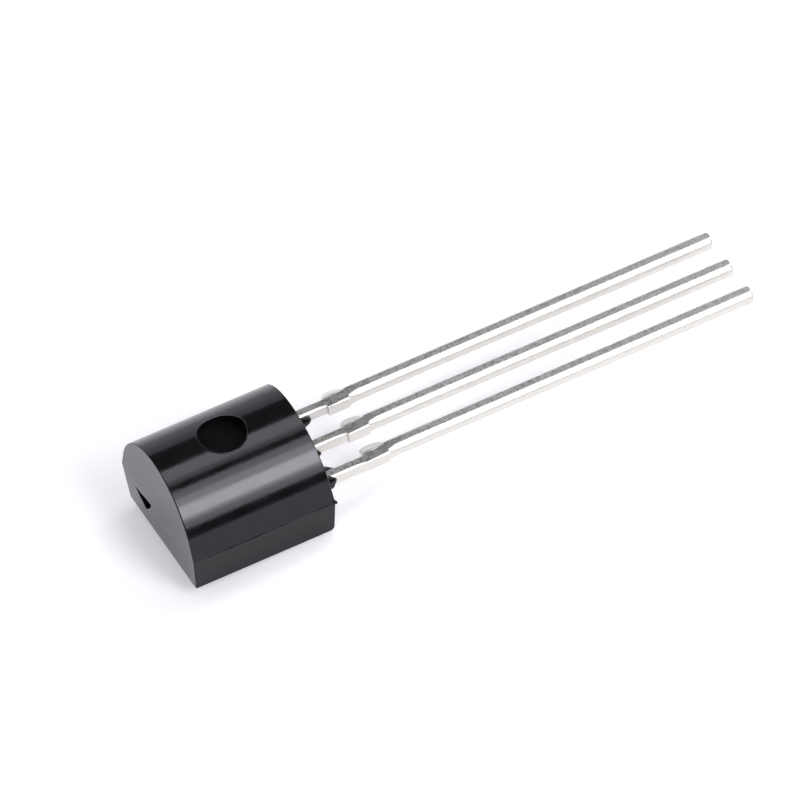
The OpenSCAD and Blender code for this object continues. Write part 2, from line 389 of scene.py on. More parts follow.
class Wiring:
    """Adds nodes to a node tree and links them."""

    def __init__(self, tree: NodeTree) -> None:
        """Keeps the tree that is wired."""
        self.tree = tree

    def node(self, kind: str, settings: dict | None = None, **inputs: object) -> Node:
        """Adds a node.

        Args:
            kind: the node's type name.
            settings: properties of the node itself.
            inputs: values or sockets for its inputs, by name, with underscores for spaces.

        Returns:
            The new node.
        """
        made = self.tree.nodes.new(kind)
        for key, value in (settings or {}).items():
            setattr(made, key, value)
        for key, value in inputs.items():
            self.feed(made.inputs[key.replace("_", " ")], value)
        return made

    def feed(self, socket: NodeSocket, value: object) -> None:
        """Links a socket, or sets its value.

        Args:
            socket: the input.
            value: the output that it is linked to, or its value.
        """
        if isinstance(value, NodeSocket):
            self.tree.links.new(value, socket)
        else:
            socket.default_value = value

    def maths(self, kind: str, *values: object) -> NodeSocket:
        """Adds a Math node.

        Args:
            kind: its operation.
            values: its inputs, as values or sockets.

        Returns:
            The result.
        """
        made = self.tree.nodes.new("ShaderNodeMath")
        made.operation = kind
        for socket, value in zip(made.inputs, values):
            self.feed(socket, value)
        return made.outputs[0]

    def times(self, first: object, second: object) -> NodeSocket:
        """Multiplies two values."""
        return self.maths("MULTIPLY", first, second)

    def plus(self, first: object, second: object) -> NodeSocket:
        """Adds two values."""
        return self.maths("ADD", first, second)

    def spread(self, value: object, source: Span, target: Span) -> NodeSocket:
        """Maps one range of values onto another, clamped."""
        return self.node("ShaderNodeMapRange", {"clamp": True}, Value=value, From_Min=source[0],
                         From_Max=source[1], To_Min=target[0], To_Max=target[1]).outputs["Result"]

    def mix(self, share: object, first: object, second: object) -> NodeSocket:
        """Mixes two colours.

        Args:
            share: how much of the second one there is.
            first: a colour or a socket.
            second: a colour or a socket.

        Returns:
            The mixed colour.
        """
        made = self.tree.nodes.new("ShaderNodeMix")
        made.data_type = "RGBA"
        self.feed(made.inputs["Factor"], share)
        colours = [s for s in made.inputs if s.type == "RGBA"]
        self.feed(colours[0], first)
        self.feed(colours[1], second)
        return next(s for s in made.outputs if s.type == "RGBA")

    def coordinate(self, kind: str = "Object") -> NodeSocket:
        """Adds a texture coordinate: the Object place, in metres, or the Normal."""
        return self.node("ShaderNodeTexCoord").outputs[kind]

    def parts(self, kind: str = "Object") -> NodeOutputs:
        """Adds a texture coordinate and gives its X, Y and Z."""
        return self.node("ShaderNodeSeparateXYZ", Vector=self.coordinate(kind)).outputs

    def group(self, tree: NodeTree, **inputs: float) -> NodeOutputs:
        """Adds a shader group and gives its outputs."""
        return self.node("ShaderNodeGroup", {"node_tree": tree}, **inputs).outputs

    def bump(self, depth: float, height: NodeSocket, **under: NodeSocket) -> NodeSocket:
        """Adds relief of a depth in metres, over another normal if one is given."""
        made = self.node("ShaderNodeBump", Strength=1.0, Distance=depth, Height=height, **under)
        return made.outputs["Normal"]


def new_group(name: str, takes: dict[str, float], *gives: str) -> tuple[Wiring, NodeOutputs, NodeInputs]:
    """Starts a shader node group.

    Args:
        name: the group's name.
        takes: its inputs and their defaults.
        gives: its outputs.

    Returns:
        The group's wiring, what it is given, and what it gives.
    """
    tree = bpy.data.node_groups.new(name, "ShaderNodeTree")
    for key, value in takes.items():
        tree.interface.new_socket(key, in_out="INPUT", socket_type="NodeSocketFloat").default_value = value
    for key in gives:
        tree.interface.new_socket(key, in_out="OUTPUT", socket_type="NodeSocketFloat")
    start = tree.nodes.new("NodeGroupInput")
    end = tree.nodes.new("NodeGroupOutput")
    return Wiring(tree), start.outputs, end.inputs


def relief_group() -> NodeTree:
    """Fine relief of a moulded or plated skin: a height, and slow patches.

    Returns:
        The group. Its inputs are cycles per metre of the fine and the slow pattern.
    """
    wire, given, out = new_group("skin_relief", {"Fine": 20000.0, "Slow": 900.0}, "Height", "Patches")
    place = wire.coordinate()
    fine = wire.node("ShaderNodeTexNoise", Vector=place, Scale=given["Fine"], Detail=4.0, Roughness=0.6)
    slow = wire.node("ShaderNodeTexNoise", Vector=place, Scale=given["Slow"], Detail=3.0, Roughness=0.5)
    wire.feed(out["Height"], fine.outputs["Fac"])
    wire.feed(out["Patches"], wire.spread(slow.outputs["Fac"], (0.32, 0.68), WHOLE))
    return wire.tree


def specks_group() -> NodeTree:
    """Scattered tiny specks of dust and filler.

    Returns:
        The group. Cells is cycles per metre, Size is a speck's share of its cell, and Share is how many
        cells have one.
    """
    wire, given, out = new_group("dust_specks", {"Cells": 3000.0, "Size": 0.1, "Share": 0.2}, "Mask")
    place = wire.coordinate()
    cells = wire.node("ShaderNodeTexVoronoi", {"feature": "F1"}, Vector=place, Scale=given["Cells"])
    near = wire.maths("LESS_THAN", cells.outputs["Distance"], given["Size"])
    pick = wire.node("ShaderNodeSeparateColor", Color=cells.outputs["Color"])
    some = wire.maths("LESS_THAN", pick.outputs[0], given["Share"])
    wire.feed(out["Mask"], wire.times(near, some))
    return wire.tree


def draw_lines_group() -> NodeTree:
    """Fine lines along X, left where a strip was rolled and drawn.

    Returns:
        The group. Its inputs are cycles per metre across the lines and along them.
    """
    wire, given, out = new_group("draw_lines", {"Across": 30000.0, "Along": 900.0}, "Height")
    at = wire.parts()
    stretched = wire.node("ShaderNodeCombineXYZ", X=wire.times(at["X"], given["Along"]),
                          Y=wire.times(at["Y"], given["Across"]), Z=wire.times(at["Z"], given["Across"]))
    lines = wire.node("ShaderNodeTexNoise", Vector=stretched.outputs[0], Scale=1.0, Detail=3.0,
                      Roughness=0.55)
    wire.feed(out["Height"], lines.outputs["Fac"])
    return wire.tree


@dataclass
class Effects:
    """The shader groups that several finishes share."""

    relief: NodeTree
    specks: NodeTree
    lines: NodeTree

    @classmethod
    def build(cls) -> "Effects":
        """Builds each group once."""
        return cls(relief_group(), specks_group(), draw_lines_group())


def new_material(name: str) -> tuple[Material, Wiring, NodeInputs]:
    """Starts a material with one Principled shader.

    Args:
        name: the material's name.

    Returns:
        The material, its wiring and its shader's inputs.
    """
    material = bpy.data.materials.new(name)
    material.use_nodes = True
    shader = next(n for n in material.node_tree.nodes if n.type == "BSDF_PRINCIPLED")
    return material, Wiring(material.node_tree), shader.inputs


@dataclass(frozen=True)
class EpoxyFinish:
    """Glossy black moulding resin, with faint relief and a little pale dust. Lengths are in metres.

    The lower mould half and the ejector recess are duller than the crown. Dust is given as cells per metre,
    a speck's share of its cell, and how many cells have one.
    """

    parting_z: float
    recess_r: float
    colour: Colour = (0.0032, 0.0031, 0.0042, 1.0)
    worn_colour: Colour = (0.0055, 0.0053, 0.007, 1.0)
    dust_colour: Colour = (0.20, 0.20, 0.21, 1.0)
    # Painted reflection colour: the bluish cast of the light, tinted into the resin's reflections.
    painted_blue_cast_tint: Colour = (0.93, 0.92, 1.0, 1.0)
    roughness: Span = (0.11, 0.16)
    dust_roughness: float = 0.4
    recess_roughness: float = 0.10
    gloss: float = 0.5
    lower_loss: float = 0.23
    recess_loss: float = 0.36
    refraction: float = 1.46
    relief_depth: float = 0.0000011
    relief_cycles: Span = (9000.0, 1300.0)
    dust: tuple[float, float, float] = (2600.0, 0.075, 0.10)
    upright_from: float = 0.9
    recess_margin: float = 0.000002

    def dull_places(self, wire: Wiring) -> tuple[NodeSocket, NodeSocket]:
        """Masks the places that are duller than the crown.

        Args:
            wire: the material's wiring.

        Returns:
            Masks of the lower mould half's long faces, and of the recess's floor and wall.
        """
        at = wire.parts()
        below = wire.maths("LESS_THAN", at["Z"], self.parting_z)
        sideways = wire.maths("ABSOLUTE", wire.parts("Normal")["Y"])
        upright = wire.maths("GREATER_THAN", sideways, self.upright_from)
        across = wire.node("ShaderNodeCombineXYZ", X=at["X"], Y=at["Y"])
        from_axis = wire.node("ShaderNodeVectorMath", {"operation": "LENGTH"})
        wire.feed(from_axis.inputs[0], across.outputs[0])
        within = wire.maths("LESS_THAN", from_axis.outputs["Value"], self.recess_r + self.recess_margin)
        above = wire.maths("GREATER_THAN", at["Z"], 2 * self.parting_z)
        return wire.times(below, upright), wire.times(within, above)

    def material(self, effects: Effects) -> Material:
        """Builds the material.

        Args:
            effects: the shared shader groups.

        Returns:
            The material.
        """
        material, wire, shader = new_material("black_epoxy")
        skin = wire.group(effects.relief, Fine=self.relief_cycles[0], Slow=self.relief_cycles[1])
        cells, size, share = self.dust
        dust = wire.group(effects.specks, Cells=cells, Size=size, Share=share)["Mask"]
        lower, inside = self.dull_places(wire)
        base = wire.mix(skin["Patches"], self.colour, self.worn_colour)
        wire.feed(shader["Base Color"], wire.mix(dust, base, self.dust_colour))
        rough = wire.spread(skin["Patches"], WHOLE, self.roughness)
        rough = wire.plus(rough, wire.times(dust, self.dust_roughness))
        wire.feed(shader["Roughness"], wire.plus(rough, wire.times(inside, self.recess_roughness)))
        loss = wire.plus(wire.times(lower, self.lower_loss), wire.times(inside, self.recess_loss))
        wire.feed(shader["Specular IOR Level"], wire.maths("SUBTRACT", self.gloss, loss))
        # Painted reflection colour: the light's bluish cast tints every reflection of the resin.
        wire.feed(shader["Specular Tint"], self.painted_blue_cast_tint)
        wire.feed(shader["Normal"], wire.bump(self.relief_depth, skin["Height"]))
        wire.feed(shader["IOR"], self.refraction)
        return material


@dataclass(frozen=True)
class TinFinish:
    """Dull tin plating over a drawn strip, mottled and finely lined. Lengths are in metres.

    It is greyer on top over a length near the body, and darker and warmer on its upright sides. Level and
    upright are the parts of the normal between which those masks fade in, and the heights are the reach of
    the relief that makes the grain and the roughness.
    """

    colour: Colour = (0.93, 0.92, 0.915, 1.0)
    dull_colour: Colour = (0.76, 0.75, 0.745, 1.0)
    # The tops are greyer over a length near the body, from 3.0 to 5.4 mm along X.
    greyer_top_colour: Colour = (0.46, 0.45, 0.45, 1.0)
    greyer_top_share: float = 0.6
    greyer_top_start: Span = (0.0030, 0.0036)
    greyer_top_before: float = 0.4
    greyer_top_end: Span = (0.0045, 0.0054)
    # The upright sides are darker and warmer than the rest of the lead.
    darker_warm_side_colour: Colour = (0.76, 0.743, 0.697, 1.0)
    darker_warm_side_share: float = 0.85
    upright: Span = (0.45, 0.80)
    level: Span = (0.94, 0.99)
    grain_heights: Span = (0.36, 0.64)
    grain: Span = (-0.12, 0.32)
    mottle: Span = (0.30, 0.55)
    rough_heights: Span = (0.3, 0.7)
    roughness: Span = (0.21, 0.37)
    side_roughness: float = 0.14
    relief_depth: float = 0.0000004
    relief_cycles: Span = (9000.0, 2600.0)
    line_depth: float = 0.0000010
    line_cycles: Span = (22000.0, 1200.0)

    def flat_top(self, wire: Wiring) -> NodeSocket:
        """Masks the level faces."""
        return wire.spread(wire.parts("Normal")["Z"], self.level, WHOLE)

    def darker_warm_sides(self, wire: Wiring) -> NodeSocket:
        """Masks the upright sides, which are darker and warmer."""
        sideways = wire.maths("ABSOLUTE", wire.parts("Normal")["Y"])
        return wire.spread(sideways, self.upright, (0.0, self.darker_warm_side_share))

    def greyer_top(self, wire: Wiring) -> NodeSocket:
        """Masks the length along X over which the tops are greyer.

        Args:
            wire: the material's wiring.

        Returns:
            The mask.
        """
        along = wire.parts()["X"]
        starts = wire.spread(along, self.greyer_top_start, (self.greyer_top_before, 1.0))
        ends = wire.spread(along, self.greyer_top_end, (1.0, 0.0))
        return wire.times(starts, ends)

    def material(self, effects: Effects) -> Material:
        """Builds the material.

        Args:
            effects: the shared shader groups.

        Returns:
            The material.
        """
        material, wire, shader = new_material("tinned_lead")
        skin = wire.group(effects.relief, Fine=self.relief_cycles[0], Slow=self.relief_cycles[1])
        lines = wire.group(effects.lines, Across=self.line_cycles[0], Along=self.line_cycles[1])
        top = self.flat_top(wire)
        grain = wire.times(top, wire.spread(skin["Height"], self.grain_heights, self.grain))
        mottle = wire.plus(grain, wire.spread(skin["Patches"], WHOLE, self.mottle))
        # Greyer tops over a length near the body.
        greyer_top = wire.times(wire.times(top, self.greyer_top(wire)), self.greyer_top_share)
        shade = wire.mix(mottle, self.colour, self.dull_colour)
        # Darker, warmer upright sides.
        shade = wire.mix(self.darker_warm_sides(wire), shade, self.darker_warm_side_colour)
        wire.feed(shader["Base Color"], wire.mix(greyer_top, shade, self.greyer_top_colour))
        wire.feed(shader["Metallic"], 1.0)
        rough = wire.spread(skin["Height"], self.rough_heights, self.roughness)
        off_top = wire.spread(top, WHOLE, (self.side_roughness, 0.0))
        wire.feed(shader["Roughness"], wire.plus(rough, off_top))
        plating = wire.bump(self.relief_depth, skin["Height"])
        wire.feed(shader["Normal"], wire.bump(self.line_depth, lines["Height"], Normal=plating))
        return material


@dataclass(frozen=True)
class PlainMetalFinish:
    """A metal of the sealed inner pieces: the chip, its bonding layer and the wires."""

    name: str
    colour: Colour
    other_colour: Colour
    roughness: Span
    metallic: float = 1.0
    rough_heights: Span = (0.3, 0.7)
    relief_cycles: Span = (60000.0, 9000.0)

    def material(self, effects: Effects) -> Material:
        """Builds the material.

        Args:
            effects: the shared shader groups.

        Returns:
            The material.
        """
        material, wire, shader = new_material(self.name)
        skin = wire.group(effects.relief, Fine=self.relief_cycles[0], Slow=self.relief_cycles[1])
        wire.feed(shader["Base Color"], wire.mix(skin["Patches"], self.colour, self.other_colour))
        wire.feed(shader["Roughness"], wire.spread(skin["Height"], self.rough_heights, self.roughness))
        wire.feed(shader["Metallic"], self.metallic)
        return material


@dataclass(frozen=True)
class PaperFinish:
    """Matt white paper of the floor and the backdrop.

    To the camera and in mirror reflections it is a little lighter than it lights the part, so that it is
    white.
    """

    name: str
    colour: Colour
    lift: float
    lift_colour: Colour
    roughness: float = 0.9

    def material(self) -> Material:
        """Builds the material.

        Returns:
            The material.
        """
        material, wire, shader = new_material(self.name)
        wire.feed(shader["Base Color"], self.colour)
        wire.feed(shader["Roughness"], self.roughness)
        wire.feed(shader["Specular IOR Level"], 0.0)
        wire.feed(shader["Emission Color"], self.lift_colour)
        path = wire.node("ShaderNodeLightPath").outputs
        seen = wire.maths("MAXIMUM", path["Is Camera Ray"], path["Is Glossy Ray"])
        wire.feed(shader["Emission Strength"], wire.times(seen, self.lift))
        return material


def dress(thing: Object, material: Material) -> None:
    """Gives an object one material."""
    thing.data.materials.clear()
    thing.data.materials.append(material)


# The leads


@dataclass(frozen=True)
class Station:
    """A cross-section of a lead: where it is, its two sides, and how its edges are rounded.

    Each edge is rounded by a quarter ellipse, given as its reach sideways and its reach in height.
    """

    x: float
    near: float
    far: float
    near_under: Span
    near_over: Span
    far_over: Span
    far_under: Span

    def outline(self, lane: float, mid_z: float, thick: float, steps: int) -> list[Vector]:
        """Lists the section's points, from the lower near edge over the top.

        Args:
            lane: the lead's sideways place.
            mid_z: the height of its middle.
            thick: its thickness.
            steps: how many steps an edge is rounded in.

        Returns:
            The points.
        """
        corners = [
            (self.near, -1, self.near_under, 270, 180), (self.near, 1, self.near_over, 180, 90),
            (self.far, 1, self.far_over, 90, 0), (self.far, -1, self.far_under, 0, -90),
        ]
        points = []
        for side, level, (wide, tall), start, end in corners:
            y = side + (wide if side == self.near else -wide)
            z = level * (thick / 2 - tall)
            for i in range(steps + 1):
                turn = math.radians(start + (end - start) * i / steps)
                out = lane + y + wide * math.cos(turn)
                points.append(Vector((self.x, out, mid_z + z + tall * math.sin(turn))))
        return points


@dataclass(frozen=True)
class Bulge:
    """The stub of the cut dam bar at one place.

    Along is the place, out is how far its far side stands out, roll is how wide that side's upper edge is
    rounded, and worn is the radius of the upper near edge.
    """

    along: float
    out: float
    roll: float
    worn: float


@dataclass(frozen=True)
class Lane:
    """What tells one lead from the others.

    Drift is how far its neck lies off the others' place, and tongue is its tongue's size as a share of the
    largest.
    """

    node: str
    y: float
    drift: float
    tongue: float


@dataclass
class Leadframe:
    """The three stamped leads, with the plates that they end in inside the body, in millimetres.

    Neck_turn is how far before the stub the neck's upper near edge starts to turn sharp, and is half sharp.
    Shank_form gives the first sections after the stub, as the place and the lower and upper near edge, and
    from shank_even on the section stays the same.
    """

    end_x: float = BODY_LENGTH / 2
    mid_z: float = PARTING_Z
    pitch: float = PITCH
    reach: float = 14.12
    width: float = 0.46
    thick: float = 0.38
    edge_r: float = 0.10
    roll: Span = (0.19, 0.17)
    section_steps: int = 8
    tip_r: float = 0.06
    tip_turns: tuple[int, ...] = (0, 30, 60, 85)
    neck_w: float = 0.34
    neck_shift: float = 0.075
    neck_edge_r: float = 0.08
    neck_even: float = 0.5
    neck_turn: Span = (0.30, 0.10)
    neck_turn_r: float = 0.055
    stub_start: float = 1.46
    stub_len: float = 0.70
    stub_near: float = 0.065
    stub_roll_r: float = 0.23
    stub_roll_share: float = 1.2
    stub_under_r: float = 0.12
    stub_form: tuple[Bulge, ...] = (
        Bulge(0.012, 0.0, 0.20, 0.03), Bulge(0.025, 0.05, 0.26, 0.03), Bulge(0.06, 0.10, 0.32, 0.03),
        Bulge(0.10, 0.12, 0.35, 0.03), Bulge(0.35, 0.072, 0.27, 0.05), Bulge(0.70, 0.02, 0.17, 0.08),
    )
    shank_form: tuple[tuple[float, Span, Span], ...] = (
        (0.03, (0.04, 0.04), (0.09, 0.09)), (0.16, (0.08, 0.08), (0.14, 0.13)),
    )
    shank_even: float = 0.34
    shank_steps: int = 11
    tongue_half: Place = (0.36, 0.25, 0.040)
    tongue_tilt: float = 29.0
    tongue_out: float = 0.05
    tongue_sunk: float = 0.110
    shear_r: float = 0.02
    plate_edge_r: float = 0.02
    plate_edge_steps: int = 2
    root: float = 0.50
    strip_w: float = 0.46
    pad_wall: float = 0.75
    pad_len: float = 1.50
    post_gap: float = 0.30
    base_post_len: float = 0.50
    base_post_w: float = 1.00
    emitter_post_len: float = 1.10
    emitter_post_w: float = 0.70
    lock_hole_d: float = 0.40
    lock_hole_steps: int = 48
    overlap: float = 0.2
    lanes: tuple[Lane, ...] = (
        Lane("emitter_lead", PITCH, 0.03, 0.8),
        Lane("base_lead", 0.0, 0.01, 0.85),
        Lane("collector_lead", -PITCH, -0.045, 1.0),
    )

    @property
    def stub_x(self) -> float:
        """Where the stub of the cut dam bar starts."""
        return self.end_x + self.stub_start

    @property
    def pad_x(self) -> float:
        """Inner end of the die pad."""
        return -self.end_x + self.pad_wall

    def neck_stations(self, drift: float) -> list[Station]:
        """Lists the sections of the neck, whose near edges turn sharp towards the stub.

        Args:
            drift: how far this neck lies off the others' place, towards the emitter.

        Returns:
            The sections, in order.
        """
        near = -self.neck_w / 2 - self.neck_shift + drift
        far = near + self.neck_w
        soft = (self.neck_edge_r, self.neck_edge_r)
        turning = (self.neck_turn_r, self.neck_turn_r)
        keen = (self.shear_r, self.shear_r)
        form = [
            (self.end_x - self.root - self.overlap, soft, soft),
            (self.end_x + self.neck_even, soft, soft),
            (self.stub_x - self.neck_turn[0], soft, soft),
            (self.stub_x - self.neck_turn[1], soft, turning),
            (self.stub_x, keen, keen),
        ]
        return [Station(x, near, far, under, over, soft, soft) for x, under, over in form]

    def stub_stations(self) -> list[Station]:
        """Lists the sections of the stub: sheared square on the near side, squeezed out on the far side.

        Returns:
            The sections, in order.
        """
        side = self.width / 2
        keen = (self.shear_r, self.shear_r)
        under = (self.stub_under_r, self.stub_under_r)
        made = []
        for bulge in self.stub_form:
            worn = (bulge.worn, bulge.worn)
            over = (bulge.roll, min(self.stub_roll_r, self.stub_roll_share * bulge.roll))
            x = self.stub_x + bulge.along
            made.append(Station(x, -side - self.stub_near, side + bulge.out, keen, worn, over, under))
        return made

    def shank_stations(self) -> list[Station]:
        """Lists the sections of the free length, from the stub's end to the cut tip.

        Returns:
            The sections, in order.
        """
        side = self.width / 2
        soft = (self.edge_r, self.edge_r)
        start = self.stub_x + self.stub_len
        tip = self.end_x + self.reach
        form = [(start + along, under, over) for along, under, over in self.shank_form]
        form += [(start + self.shank_even + i, soft, self.roll) for i in range(self.shank_steps + 1)]
        made = [Station(x, -side, side, under, over, soft, soft) for x, under, over in form]
        for turn in self.tip_turns:
            pull_in = self.tip_r * (1 - math.cos(math.radians(turn)))
            x = tip - self.tip_r * (1 - math.sin(math.radians(turn)))
            made.append(Station(x, -side + pull_in, side - pull_in, soft, self.roll, soft, soft))
        return made

    def bar(self, lane: Lane) -> Object:
        """Makes all that stands outside the body, as one strip through its sections.

        Args:
            lane: the lead that it belongs to.

        Returns:
            The strip.
        """
        bm = bmesh.new()
        rings = []
        for station in self.neck_stations(lane.drift) + self.stub_stations() + self.shank_stations():
            points = station.outline(lane.y, self.mid_z, self.thick, self.section_steps)
            rings.append([bm.verts.new(p) for p in points])
        for ring, after in zip(rings, rings[1:]):
            for i, vert in enumerate(ring):
                bm.faces.new((ring[i - 1], vert, after[i], after[i - 1]))
        bm.faces.new(rings[0])
        bm.faces.new(rings[-1])
        mend(bm)
        return new_object(bm, "bar")

    def tongue(self, lane: Lane) -> Object:
        """Makes the thin tongue of metal that the cut squeezed out along the stub's far side.

        Args:
            lane: the lead that it belongs to.

        Returns:
            The tongue.
        """
        half = [lane.tongue * size for size in self.tongue_half]
        x = self.stub_x + self.tongue_half[0]
        y = lane.y + self.width / 2 + self.tongue_out
        z = self.mid_z + self.thick / 2 - self.tongue_sunk
        tilt = Matrix.Rotation(math.radians(-self.tongue_tilt), 3, "X")
        return new_object(lump(half, (x, y, z), tilt), "tongue")

    def lead(self, lane: Lane, plates: list[BMesh]) -> Object:
        """Makes one whole lead.

        Args:
            lane: what tells it from the others.
            plates: what it has inside the body.

        Returns:
            The lead, still in millimetres.
        """
        whole = self.bar(lane)
        combine(whole, self.tongue(lane), Join.ADD)
        for plate in plates:
            combine(whole, new_object(plate, "plate"), Join.ADD)
        whole.name = f"tinned_{lane.node}"
        return whole

    def plate(self, x_from: float, x_to: float, y_from: float, y_to: float) -> BMesh:
        """Makes a flat plate of the strip with softened edges.

        Args:
            x_from: where it starts along the leads.
            x_to: where it ends along the leads.
            y_from: its near side.
            y_to: its far side.

        Returns:
            The plate.
        """
        low = Vector((x_from, y_from, self.mid_z - self.thick / 2))
        high = Vector((x_to, y_to, self.mid_z + self.thick / 2))
        bm = box(low, high)
        round_edges(bm, list(bm.edges), self.plate_edge_r, self.plate_edge_steps)
        return bm

    def strip(self, x_from: float, lane: float) -> BMesh:
        """Makes the strip inside the body, up to the neck."""
        half = self.strip_w / 2
        return self.plate(x_from, self.end_x - self.root, lane - half, lane + half)

    def plates(self) -> list[list[BMesh]]:
        """Makes what each lead has inside the body: its strip, and a bonding post or the die pad.

        Returns:
            The plates of each lead, in the order of the lanes.
        """
        pad_end = self.pad_x + self.pad_len
        base_x = pad_end + self.post_gap
        base_half = self.base_post_w / 2
        emitter_end = self.pad_x + self.emitter_post_len
        emitter_half = self.emitter_post_w / 2
        low_y = -self.pitch - self.strip_w / 2
        high_y = self.pitch - self.emitter_post_w / 2 - self.post_gap
        emitter = self.plate(self.pad_x, emitter_end, self.pitch - emitter_half, self.pitch + emitter_half)
        base = self.plate(base_x, base_x + self.base_post_len, -base_half, base_half)
        collector = self.plate(self.pad_x, pad_end, low_y, high_y)
        return [
            [self.strip(emitter_end - self.overlap, self.pitch), emitter],
            [self.strip(base_x + self.overlap, 0.0), base],
            [self.strip(pad_end - self.overlap, -self.pitch), collector],
        ]

    def lock_hole(self) -> Object:
        """Makes the cutter of the hole that locks the collector's pad in the resin.

        Returns:
            The cutter.
        """
        bm = bmesh.new()
        place = Matrix.Translation((self.pad_x + self.pad_len / 2, -self.pitch, self.mid_z))
        radius = self.lock_hole_d / 2
        bmesh.ops.create_cone(bm, cap_ends=True, segments=self.lock_hole_steps, radius1=radius,
                              radius2=radius, depth=2 * self.thick, matrix=place)
        return new_object(bm, "lock_hole")

    def build(self) -> dict[str, Object]:
        """Builds the three leads, in millimetres.

        Returns:
            The leads, by the name of the node that each one stands for.
        """
        leads = {lane.node: self.lead(lane, inner) for lane, inner in zip(self.lanes, self.plates())}
        combine(leads["collector_lead"], self.lock_hole(), Join.CUT)
        return leads


# The moulded body


@dataclass(frozen=True)
class Scrap:
    """A scrap of resin flash that stands on the closed face between the leads and clings to a neck.

    It is a lump with its middle, counted from the parting line at the face, and half sizes. It is thinned
    by a share towards its tip, and roughened by an amount.
    """

    middle: Place
    half: Place
    thinning: float
    rough: float
    turn_deg: float = 0.0


@dataclass
class Moulding:
    """The moulded epoxy body. Sizes are in millimetres.

    Bead_out is how far a bead's middle lies outside the surface, and bead_least is its thinnest place, both
    as a share of its radius. Uneven is how much the radius varies, and in how many cycles per millimetre.
    Cut_past is how far a cutter stands out of the body, and chip_shares is the chip's depth at its corners.
    """

    length: float = BODY_LENGTH
    width: float = 4.70
    depth: float = 3.40
    flat_w: float = 4.30
    parting_h: float = PARTING_Z
    shoulder_h: float = 2.03
    crown_r: float = 2.31
    crown_steps: int = 120
    lean_flat: float = 0.05
    lean_crown: float = 0.07
    flat_edge_r: float = 0.06
    flat_edge_steps: int = 5
    end_edge_r: float = 0.035
    end_edge_steps: int = 3
    worn_r: float = 0.24
    worn_steps: int = 10
    cut_past: float = 0.1
    bead_out: float = 0.3
    bead_least: float = 0.3
    recess_r: float = 0.73
    recess_depth: float = 0.30
    recess_floor_r: float = 0.01
    recess_floor_steps: int = 2
    recess_steps: int = 120
    recess_cut: float = 2.0
    lip_r: float = 0.021
    lip_uneven: Span = (0.8, 4.0)
    parting_r: float = 0.022
    parting_uneven: Span = (2.4, 1.9)
    parting_steps: int = 110
    parting_stop: float = 0.08
    chip_depth: float = 0.20
    chip_corners: tuple[Span, ...] = ((0.40, 1.24), (0.50, 1.02), (0.91, 0.57), (1.65, 1.05))
    chip_shares: tuple[float, ...] = (1.0, 1.0, 0.9, 0.1)
    chip_middle: Place = (0.0, 0.95, 0.92)
    chip_narrowing: float = 0.85
    chip_cuts: int = 5
    chip_rough: Roughness = Roughness(0.022, 6.0, (3.1, 0.4, 7.7))
    scrap_cycles: float = 5.0
    scraps: tuple[Scrap, ...] = (
        Scrap((0.29, PITCH - 0.26, -0.04), (0.60, 0.20, 0.25), 0.10, 0.025),
        Scrap((0.18, -0.27, -0.10), (0.40, 0.14, 0.12), 0.3, 0.03),
        Scrap((0.12, -PITCH + 0.15, 0.08), (0.50, 0.20, 0.19), 0.70, 0.03, -12),
        Scrap((0.10, -PITCH - 0.27, 0.0), (0.34, 0.17, 0.23), 0.0, 0.035),
    )
    fin_r: float = 0.065
    fin_offset: Place = (-0.01, -0.005, 0.03)
    fin_rough: Roughness = Roughness(0.0195, 9.0, (5.0, 2.0, 1.0))

    @property
    def crown_z(self) -> float:
        """Height of the crown's centre line."""
        return self.depth - self.crown_r

    def lean_at(self, height: float) -> float:
        """Works out how far an end face leans in.

        Args:
            height: where.

        Returns:
            How far.
        """
        if height < self.parting_h:
            return self.lean_flat * (1 - height / self.parting_h)
        return self.lean_crown * (height - self.parting_h) / (self.depth - self.parting_h)

    @staticmethod
    def is_rim(edge: BMEdge) -> bool:
        """Says whether an edge borders an end face on one side and a long face on the other."""
        ends = [face for face in edge.link_faces if abs(face.normal.x) > FACING]
        return len(edge.link_faces) == 2 and len(ends) == 1

    def block(self) -> Object:
        """Makes the plain body: the section, run along the leads, with leaning ends and rounded edges.

        Returns:
            The plain body.
        """
        start = math.asin((self.shoulder_h - self.crown_z) / self.crown_r)
        x = -self.length / 2
        bm = bmesh.new()
        first = bm.verts.new((x, self.crown_r * math.cos(start), self.shoulder_h))
        arc = math.pi - 2 * start
        bmesh.ops.spin(bm, geom=[first], cent=(x, 0, self.crown_z), axis=(1, 0, 0), dvec=(0, 0, 0),
                       angle=arc, steps=self.crown_steps, use_merge=False, use_duplicate=False)
        crown = sorted(bm.verts, key=lambda v: math.atan2(v.co.z - self.crown_z, v.co.y))
        lower = [(-self.width / 2, self.parting_h), (-self.flat_w / 2, 0), (self.flat_w / 2, 0),
                 (self.width / 2, self.parting_h)]
        section = bm.faces.new(crown + [bm.verts.new((x, y, z)) for y, z in lower])
        pull(bm, section, (self.length, 0, 0))
        bmesh.ops.bisect_plane(bm, geom=bm.verts[:] + bm.edges[:] + bm.faces[:], dist=WELD,
                               plane_co=(0, 0, self.parting_h), plane_no=(0, 0, 1))
        for v in bm.verts:
            v.co.x = math.copysign(self.length / 2 - self.lean_at(v.co.z), v.co.x)
        bmesh.ops.recalc_face_normals(bm, faces=bm.faces)
        flat_edges = [e for e in edges_along(bm, Axis.X) if e.verts[0].co.z < ON_PLANE]
        round_edges(bm, flat_edges, self.flat_edge_r, self.flat_edge_steps)
        round_edges(bm, [e for e in bm.edges if self.is_rim(e)], self.end_edge_r, self.end_edge_steps)
        return new_object(bm, "block")

